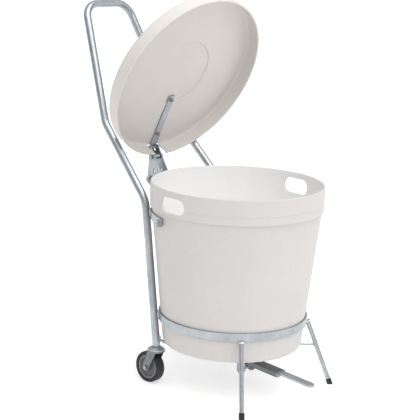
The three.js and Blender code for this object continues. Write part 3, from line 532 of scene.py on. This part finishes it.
def buildLid(size):
    inner, wall, under, rim = size["inner"], size["wall"], size["underside"], size["rimZ"]
    outer = inner + wall
    top = under + wall
    bend = size["corner"] - wall
    start, rise = size["ring"], size["ringRise"]
    ring = [(start - 2.2, under), (start - 1.2, under - 0.15 * rise), (start + 0.2, under - 0.85 * rise),
            (start + 1.4, under - rise), (start + 4, under - rise), (start + size["ringFade"], under)]
    profile = [(0, under), *ring, (inner - bend - 30, under)]
    profile += arc(inner - bend, under - bend, bend, 90, 0, 6) + [(inner, rim + 0.8), (inner + 0.8, rim)]
    profile += [(outer + size["lip"] - 0.8, rim), (outer + size["lip"], rim + 0.8)]
    profile += [(outer + size["lip"], rim + size["lipHeight"]), (outer, rim + size["lipHeight"] + 2)]
    profile += arc(outer - size["corner"], top - size["corner"], size["corner"], 0, 90, 8) + [(0, top)]
    notchLow = (-size["notch"], inner - size["notchDepth"], rim - 10)
    notch = block(notchLow, (size["notch"], outer + 10, under - 0.01))
    reliefX, reliefStart, reliefEnd = size["armRelief"]
    relief = block((-reliefX, reliefStart, under - size["reliefDepth"]), (reliefX, reliefEnd, under))
    bm = cutAway(turned(profile, 180), [notch, relief])
    bmesh.ops.dissolve_limit(bm, angle_limit=math.radians(0.3), verts=bm.verts, edges=bm.edges)
    edge = [edge for edge in bm.edges
            if edge.is_manifold and edge.calc_face_angle() > math.radians(50)
            and all(abs(vert.co.x) < size["notch"] + 1 and vert.co.y > 0 for vert in edge.verts)]
    easeEdges(bm, edge, 0.6)
    standFor("lidShell", moved(bm, lidSpace()), ["lid"], lidPlastic, 30)
    built.add("lid")


buildLid(lidSize)
print("tub and lid ready")

frameSize = {
    "tube": 12.15, "foot": (184.5, 154.007, 126), "knee": (184.5, 217, 582.5, 80),
    "elbow": (159, 427, 795, 90), "grip": (94, 598, 1158, 58),
    "legRadius": 7, "legAngle": 43, "legFoot": 321.3, "legTop": 238.0, "hoopZ": 212, "legEnd": 5,
    "rodRadius": 4, "rodRise": 150, "rodZ": {"cross_rod_upper": 132.2, "cross_rod_lower": 123.9},
}


def mirroredX(point):
    return (-point[0], *point[1:])


def uprightY(size, z):
    (_, footY, footZ), (_, kneeY, kneeZ, _) = size["foot"], size["knee"]
    return footY + (kneeY - footY) * (z - footZ) / (kneeZ - footZ)


def legPoint(size, side, z):
    radius = size["legFoot"] + (size["legTop"] - size["legFoot"]) * z / size["hoopZ"]
    angle = math.radians(size["legAngle"])
    return Vector((side * radius * math.sin(angle), -radius * math.cos(angle), z))


def buildHandle(size):
    side = [size["foot"], size["knee"], size["elbow"], size["grip"]]
    corners = [mirroredX(corner) for corner in side] + side[::-1]
    bm = swept(placesAlong(bentLine(corners, 12)), size["tube"], 40)
    standFor("handleTube", moved(bm, cradleSpace), ["handle_tube"])
    built.add("handle_tube")


buildHandle(frameSize)


def buildLegs(size):
    for label, side in (("left", -1), ("right", 1)):
        line = [legPoint(size, side, size["legEnd"]), legPoint(size, side, size["hoopZ"] - 0.4)]
        bm = swept(placesAlong(bentLine([tuple(point) for point in line])), size["legRadius"], 28)
        easeEdges(bm, [edge for edge in bm.edges if edge.calc_face_angle() > 1], 1.2)
        standFor("leg." + label, moved(bm, cradleSpace), ["front_leg_" + label])
        built.add("front_leg_" + label)


buildLegs(frameSize)

weldSize = {
    "leg": 3.0, "bar": 2.4, "rod": 2.3, "ripple": 0.16, "beadSides": 12,
    "bars": ((frameSize["hoopZ"], 235.3), (534.5, 268.0)),  # lower edge and outer radius of each flat bar
    "barHalf": 12, "apart": 6.2, "barOut": 1.6, "barEnds": (2, 23),
    "rodFromLeg": 8.0, "rodFromUpright": 13.6,
}


# a bead of weld along a line, swollen where each drop of metal set
def bead(stations, radius, look):
    places = placesAlong(stations)
    count = len(places) - 1
    for index, place in enumerate(places):
        wave = 1 + look["ripple"] * math.sin(index * 2.1)
        ends = math.sqrt(max(0.12, 1 - abs(2 * index / count - 1) ** 6))
        places[index] = place @ Matrix.Diagonal((wave * ends, wave * ends, 1, 1))
    return swept(places, radius, look["beadSides"])


def ringStations(centre, axis, radius, steps=30):
    turn = Vector(axis).normalized().to_track_quat("Z", "Y")
    stations = []
    for step in range(steps + 1):
        angle = 2 * math.pi * step / steps
        spot = turn @ Vector((math.cos(angle), math.sin(angle), 0)) * radius
        way = turn @ Vector((-math.sin(angle), math.cos(angle), 0))
        stations.append((Vector(centre) + spot, way))
    return stations


def lineStations(start, end, steps=16):
    start, end = Vector(start), Vector(end)
    way = (end - start).normalized()
    return [(start.lerp(end, step / steps), way) for step in range(steps + 1)]


def buildWelds(size, look):
    beads = []
    for side in (-1, 1):
        top = legPoint(size, side, size["hoopZ"] - 2.2)
        along = legPoint(size, side, size["hoopZ"]) - legPoint(size, side, 0)
        beads.append(bead(ringStations(top, along, size["legRadius"] + 0.4), look["leg"], look))
        for barZ, barRadius in look["bars"]:
            angle = math.atan2(uprightY(size, barZ + look["barHalf"]), side * size["foot"][0])
            outward = Vector((math.cos(angle), math.sin(angle), 0))
            across = Vector((-outward.y, outward.x, 0))
            for shift in (-look["apart"], look["apart"]):
                spot = outward * (barRadius + look["barOut"]) + across * shift
                start, end = (spot + Vector((0, 0, barZ + rise)) for rise in look["barEnds"])
                beads.append(bead(lineStations(start, end), look["bar"], look))
    for side, z in ((1, size["rodZ"]["cross_rod_upper"]), (-1, size["rodZ"]["cross_rod_lower"])):
        leg = legPoint(size, side, z)
        far = Vector((-side * size["foot"][0], uprightY(size, size["rodRise"]), size["rodRise"]))
        inward = Vector((far.x - leg.x, far.y - leg.y, 0)).normalized()
        slope = (leg - far).normalized()
        ends = ((leg + inward * look["rodFromLeg"], inward), (far + slope * look["rodFromUpright"], slope))
        for place, axis in ends:
            beads.append(bead(ringStations(place, axis, size["rodRadius"] + 0.2), look["rod"], look))
    whole = bmesh.new()
    for part in beads:
        mesh = bpy.data.meshes.new("bead")
        part.to_mesh(mesh)
        part.free()
        whole.from_mesh(mesh)
        bpy.data.meshes.remove(mesh)
    addPiece("frameWelds", moved(whole, cradleSpace), weldMetal, "cradle")


buildWelds(frameSize, weldSize)
print("frame ready")

wheelSize = {
    "radius": 50, "width": 32, "tyre": 12, "shoulder": 5, "bore": 6.6, "hub": 11, "rimLine": 1.1,
    "grooves": (-5, 5), "grooveDepth": 0.9, "steps": 96,
}


def wheelSpace(label):
    low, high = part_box("tyre_" + label)
    return Matrix.Translation((low + high) / 2) @ Matrix.Rotation(math.pi / 2, 4, "Y") @ Matrix.Scale(mm, 4)


def buildWheel(label, size):
    space = wheelSpace(label)
    half = size["width"] / 2
    inner = size["radius"] - size["tyre"]
    outer = size["radius"]
    shoulder = size["shoulder"]
    side = [(inner, half - 3), (inner + 1.5, half - 1.6), (inner + 5, half - 1.2)]
    side += arc(outer - shoulder, half - shoulder, shoulder, 90, 20, 5)
    tread = []
    bottom = outer - size["grooveDepth"]
    for groove in reversed(size["grooves"]):
        tread += [(outer, groove + 1.0), (bottom, groove + 0.5)]
        tread += [(bottom, groove - 0.5), (outer, groove - 1.0)]
    profile = side + [(outer, half - 7), *tread, (outer, 7 - half)] + [(r, -z) for r, z in reversed(side)]
    standFor("tyre." + label, moved(turned(profile, size["steps"], closed=True), space), ["tyre_" + label])
    rim = inner - 0.3
    hub = size["hub"]
    face = [(size["bore"], half), (hub, half), (hub + 1.2, half - 1.5), (hub + 3, half - 7),
            (rim - 10, half - 6.4), (rim - 7, half - 3.4), (rim - 0.6, half - 2.8), (rim, half - 3.4)]
    core = turned(face + [(r, -z) for r, z in reversed(face)], size["steps"], closed=True)
    standFor("wheelCore." + label, moved(core, space), ["wheel_core_" + label])
    # a light grey ring at each edge of the rim, a painted highlight
    for name, facing in (("rimOuter.", -1), ("rimInner.", 1)):
        line = arc(rim - 2.4, facing * (half - 3.1), size["rimLine"], 0, 330, 11)
        ring = moved(turned(line, size["steps"], closed=True), space)
        addPiece(name + label, ring, rimNylon, "castor_wheel_" + label)
    built.update({"tyre_" + label, "wheel_core_" + label})


for label in ("left", "right"):
    buildWheel(label, wheelSize)
print("wheels ready")


stageLook = {"floor": (0.62, 0.615, 0.61, 1), "floorSize": 70, "roughness": 0.9, "glow": 0.55}


def buildStage(look):
    floor = bmesh.new()
    bmesh.ops.create_grid(floor, x_segments=1, y_segments=1, size=look["floorSize"])
    mesh = bpy.data.meshes.new("floor")
    floor.to_mesh(mesh)
    floor.free()
    paint = Sheet(bpy.data.materials.new("floorPaint"))
    roughness = look["roughness"] + paint.noise(2, 2) * 0.05
    mesh.materials.append(paint.finish(baseColor=look["floor"], roughness=roughness, glow=(1, 1, 1, 1),
                                       glowStrength=look["glow"]))
    plane = bpy.data.objects.new("floor", mesh)
    bpy.context.scene.collection.objects.link(plane)


buildStage(stageLook)

roomLook = {
    "stops": [(0.0, (0.30, 0.31, 0.32, 1)), (0.50, (0.13, 0.135, 0.14, 1)), (0.60, (0.30, 0.31, 0.32, 1)),
              (1.0, (0.70, 0.71, 0.72, 1))],
    "strength": 1.25,
}


# a soft room, darkest at the horizon, for what the metal mirrors, and plain white behind the object
def buildRoom(look):
    world = bpy.data.worlds.new("studio")
    bpy.context.scene.world = world
    room = Sheet(world, "Background")
    where = room.node("ShaderNodeTexCoord", output="Generated")
    upward = room.node("ShaderNodeSeparateXYZ", {}, {0: where}, output=2)
    height = room.node("ShaderNodeMapRange", {}, {"Value": upward, "From Min": -1})
    shade = room.node("ShaderNodeValToRGB", {"stops": look["stops"]}, {"Fac": height})
    seen = room.node("ShaderNodeLightPath", output="Is Camera Ray")
    room.feed(room.shader, {"Color": room.mix(seen, shade, (1, 1, 1, 1)), "Strength": look["strength"]})


buildRoom(roomLook)

softBox = {"from": Vector((-0.50, -1.0, 1.55)), "strength": 1.35, "angle": 62}  # broad light from far off

lights = [
    {"name": "rightFront", "place": (2.9, -3.4, 2.1), "aim": (0, 0, 0.5), "size": 2.0, "watts": 18},
    {"name": "overhead", "place": (0.2, -0.9, 3.4), "aim": (0, 0, 0.4), "size": 1.6, "watts": 26},
]


def addLight(lamp, matrix):
    holder = bpy.data.objects.new(lamp.name, lamp)
    holder.matrix_world = matrix
    bpy.context.scene.collection.objects.link(holder)


def buildLights():
    sky = bpy.data.lights.new("softBox", "SUN")
    sky.energy = softBox["strength"]
    sky.angle = math.radians(softBox["angle"])
    addLight(sky, softBox["from"].to_track_quat("Z", "Y").to_matrix().to_4x4())
    for item in lights:
        lamp = bpy.data.lights.new(item["name"], "AREA")
        lamp.size = item["size"]
        lamp.energy = item["watts"]
        place = Vector(item["place"])
        aim = (Vector(item["aim"]) - place).to_track_quat("-Z", "Y")
        addLight(lamp, Matrix.Translation(place) @ aim.to_matrix().to_4x4())


buildLights()

cameraLook = {
    "place": Vector((-2.967, -2.489, 1.442)),  # from the tub's axis
    "forward": Vector((0.7334, 0.6426, -0.2221)),
    "roll": 0.0351,
    "lens": 109.5,
    "sensor": 36,
}


def buildCamera(look):
    camera = bpy.data.objects.new("camera", bpy.data.cameras.new("camera"))
    bpy.context.scene.collection.objects.link(camera)
    forward = look["forward"].normalized()
    right = forward.cross(Vector((0, 0, 1))).normalized()
    up = right.cross(forward)
    turn = Matrix((right, up, -forward)).transposed() @ Matrix.Rotation(look["roll"], 3, "Z")
    camera.matrix_world = Matrix.Translation(look["place"] + tubAxis) @ turn.to_4x4()
    camera.data.lens = look["lens"]
    camera.data.sensor_width = look["sensor"]
    camera.data.clip_end = 60
    bpy.context.scene.camera = camera


buildCamera(cameraLook)
bpy.context.scene.view_settings.view_transform = "Standard"
print("stage, light and camera ready")


def camelName(node):
    words = node.split("_")
    return words[0] + "".join(word.title() for word in words[1:])


ownMaterial = {"pedal": pedalSteel, "fork_left": forkSteel, "fork_right": forkSteel}
for node in sorted(frame["nodes"]):
    if node not in built:
        finer = eased(node, easedWidths[slotOf[node]])
        standFor(camelName(node) + "Eased", finer, [node], ownMaterial.get(node))
print("eased CAD pieces ready")
